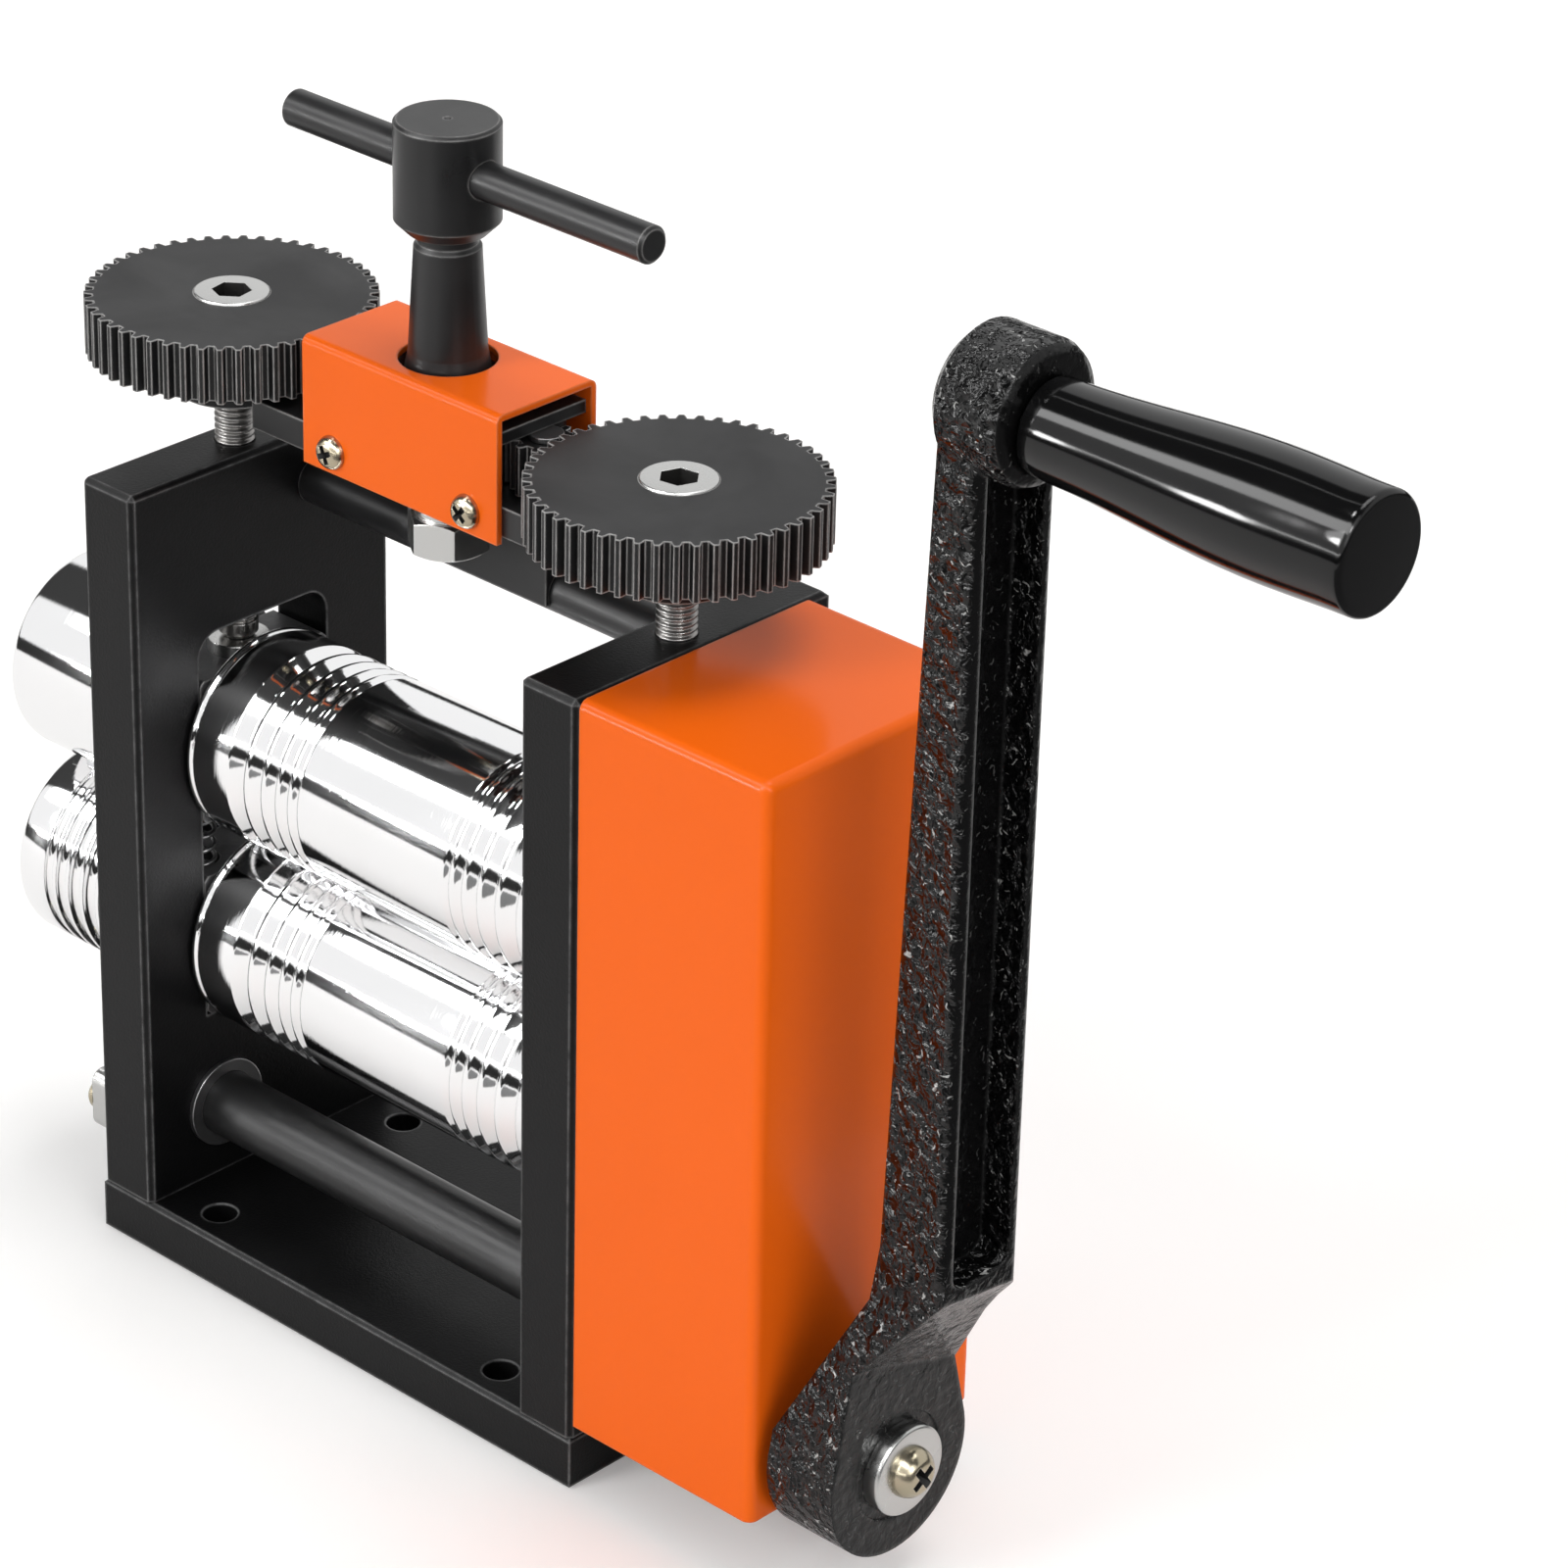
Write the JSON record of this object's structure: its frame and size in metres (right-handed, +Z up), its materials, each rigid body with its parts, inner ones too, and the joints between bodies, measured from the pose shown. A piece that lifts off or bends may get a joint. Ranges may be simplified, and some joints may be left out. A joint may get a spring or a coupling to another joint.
{
  "type": "jewellers rolling mill",
  "caption": "Hand cranked bench rolling mill: polished rollers between two side plates, gear case and crank at the right, T-handle that sets the roll gap.",
  "frame": {"origin": "centre of the base plate's underside, midway between the side plates, in the plane of the roller axes", "axes": "+X along the rollers towards the crank, +Y to the back, +Z up"},
  "size_m": [0.2533, 0.0508, 0.1985],
  "materials": {
    "black_paint": "satin",
    "black_steel": "satin black oxide",
    "gear_black": "satin black oxide",
    "orange_enamel": "gloss",
    "crank_paint": "wrinkle, semi gloss",
    "grip_plastic": "gloss",
    "roller_steel": "polished",
    "shaft_steel": "turned",
    "screw_steel": "oiled thread",
    "zinc_steel": "bright zinc",
    "yellow_zinc": "yellow zinc",
    "dark_steel": "machined, oiled",
    "cast_blocks": "satin"
  },
  "bodies": {
    "frame": {"base_plate": "black_paint", "side_plate_left": "black_paint", "side_plate_right": "black_paint", "base_screws": "dark_steel", "crank_bushes": "dark_steel", "shaft_keeper": "zinc_steel", "plate_pan_screws": "yellow_zinc", "lower_block_left": "cast_blocks", "lower_block_right": "cast_blocks", "lift_springs": "dark_steel", "tie_rod": "black_steel", "tie_rod_screws": "black_steel", "bridge_bar": "black_steel", "bridge_post": "black_steel", "bridge_post_screws": "yellow_zinc", "gearbox_top_plate": "black_steel", "gearbox_pillars": "dark_steel", "idler_studs": "dark_steel", "pinion_cover": "orange_enamel", "pinion_cover_screws": "yellow_zinc", "gear_case": "orange_enamel", "gear_case_blocks": "black_steel"},
    "upper_carriage": {"upper_block_left": "cast_blocks", "upper_block_right": "cast_blocks", "thrust_pads": "zinc_steel"},
    "lower_roller": {"lower_roller": "roller_steel", "lower_extension_roller": "roller_steel", "lower_end_washers": "zinc_steel", "lower_end_screws": "zinc_steel", "lower_pair_gear": "dark_steel", "drive_wheel": "dark_steel"},
    "upper_roller": {"upper_roller": "roller_steel", "upper_extension_roller": "roller_steel", "upper_end_washers": "zinc_steel", "upper_end_screws": "zinc_steel", "upper_pair_gear": "dark_steel", "upper_spacer": "dark_steel"},
    "crank": {"crank_shaft": "shaft_steel", "crank_pinion": "dark_steel", "crank_arm": "crank_paint", "crank_washer": "zinc_steel", "crank_screw": "yellow_zinc", "grip_spindle": "zinc_steel"},
    "grip": {"grip": "grip_plastic"},
    "t_handle": {"handle_spindle": "black_steel", "handle_hub": "black_steel", "handle_bar": "black_steel", "handle_pinion": "dark_steel", "handle_nut": "zinc_steel"},
    "screw_left": {"adjusting_screw_left": "screw_steel", "adjusting_gear_left": "gear_black", "adjusting_cap_left": "zinc_steel"},
    "inner_idler_left": {"inner_idler_left": "dark_steel"},
    "outer_idler_left": {"outer_idler_left": "gear_black"},
    "screw_right": {"adjusting_screw_right": "screw_steel", "adjusting_gear_right": "gear_black", "adjusting_cap_right": "zinc_steel"},
    "inner_idler_right": {"inner_idler_right": "dark_steel"},
    "outer_idler_right": {"outer_idler_right": "gear_black"}
  },
  "joints": [
    {"name": "crank_turn", "type": "hinge", "parent": "frame", "child": "crank", "pos_m": [0, -0.0099, 0.02068], "axis": [1, 0, 0], "continuous": true},
    {"name": "lower_roller_turn", "type": "hinge", "parent": "frame", "child": "lower_roller", "pos_m": [0, 0, 0.049], "axis": [1, 0, 0], "continuous": true},
    {"name": "carriage_lift", "type": "slide", "parent": "frame", "child": "upper_carriage", "axis": [0, 0, 1], "range_m": [-0.00031, 0.00401], "deforming": ["lift_springs"]},
    {"name": "upper_roller_turn", "type": "hinge", "parent": "upper_carriage", "child": "upper_roller", "pos_m": [0, 0, 0.0822], "axis": [1, 0, 0], "continuous": true},
    {"name": "grip_spin", "type": "hinge", "parent": "crank", "child": "grip", "pos_m": [0.15, -0.0099, 0.18718], "axis": [1, 0, 0], "continuous": true},
    {"name": "handle_turn", "type": "hinge", "parent": "frame", "child": "t_handle", "pos_m": [0, 0, 0.15], "axis": [0, 0, 1], "range_deg": [-800, 5180]},
    {"name": "screw_left_turn", "type": "hinge", "parent": "upper_carriage", "child": "screw_left", "pos_m": [-0.0458, 0, 0.145], "axis": [0, 0, 1], "range_deg": [-1455, 230]},
    {"name": "inner_idler_left_turn", "type": "hinge", "parent": "frame", "child": "inner_idler_left", "pos_m": [-0.0106, 0, 0.147], "axis": [0, 0, 1], "range_deg": [-6610, 1030]},
    {"name": "outer_idler_left_turn", "type": "hinge", "parent": "frame", "child": "outer_idler_left", "pos_m": [-0.01993, 0, 0.147], "axis": [0, 0, 1], "range_deg": [-1030, 6610]},
    {"name": "screw_right_turn", "type": "hinge", "parent": "upper_carriage", "child": "screw_right", "pos_m": [0.0458, 0, 0.145], "axis": [0, 0, 1], "range_deg": [-1455, 230]},
    {"name": "inner_idler_right_turn", "type": "hinge", "parent": "frame", "child": "inner_idler_right", "pos_m": [0.0106, 0, 0.147], "axis": [0, 0, 1], "range_deg": [-6610, 1030]},
    {"name": "outer_idler_right_turn", "type": "hinge", "parent": "frame", "child": "outer_idler_right", "pos_m": [0.01993, 0, 0.147], "axis": [0, 0, 1], "range_deg": [-1030, 6610]}
  ],
  "couplings": [
    {"joint": "lower_roller_turn", "follows": "crank_turn", "ratio": -0.53846},
    {"joint": "upper_roller_turn", "follows": "crank_turn", "ratio": 0.53846},
    {"joint": "handle_turn", "follows": "carriage_lift", "rad_per_m": 22440},
    {"joint": "screw_left_turn", "follows": "carriage_lift", "rad_per_m": -6283.2},
    {"joint": "inner_idler_left_turn", "follows": "carriage_lift", "rad_per_m": -28560},
    {"joint": "outer_idler_left_turn", "follows": "carriage_lift", "rad_per_m": 28560},
    {"joint": "screw_right_turn", "follows": "carriage_lift", "rad_per_m": -6283.2},
    {"joint": "inner_idler_right_turn", "follows": "carriage_lift", "rad_per_m": -28560},
    {"joint": "outer_idler_right_turn", "follows": "carriage_lift", "rad_per_m": 28560}
  ]
}
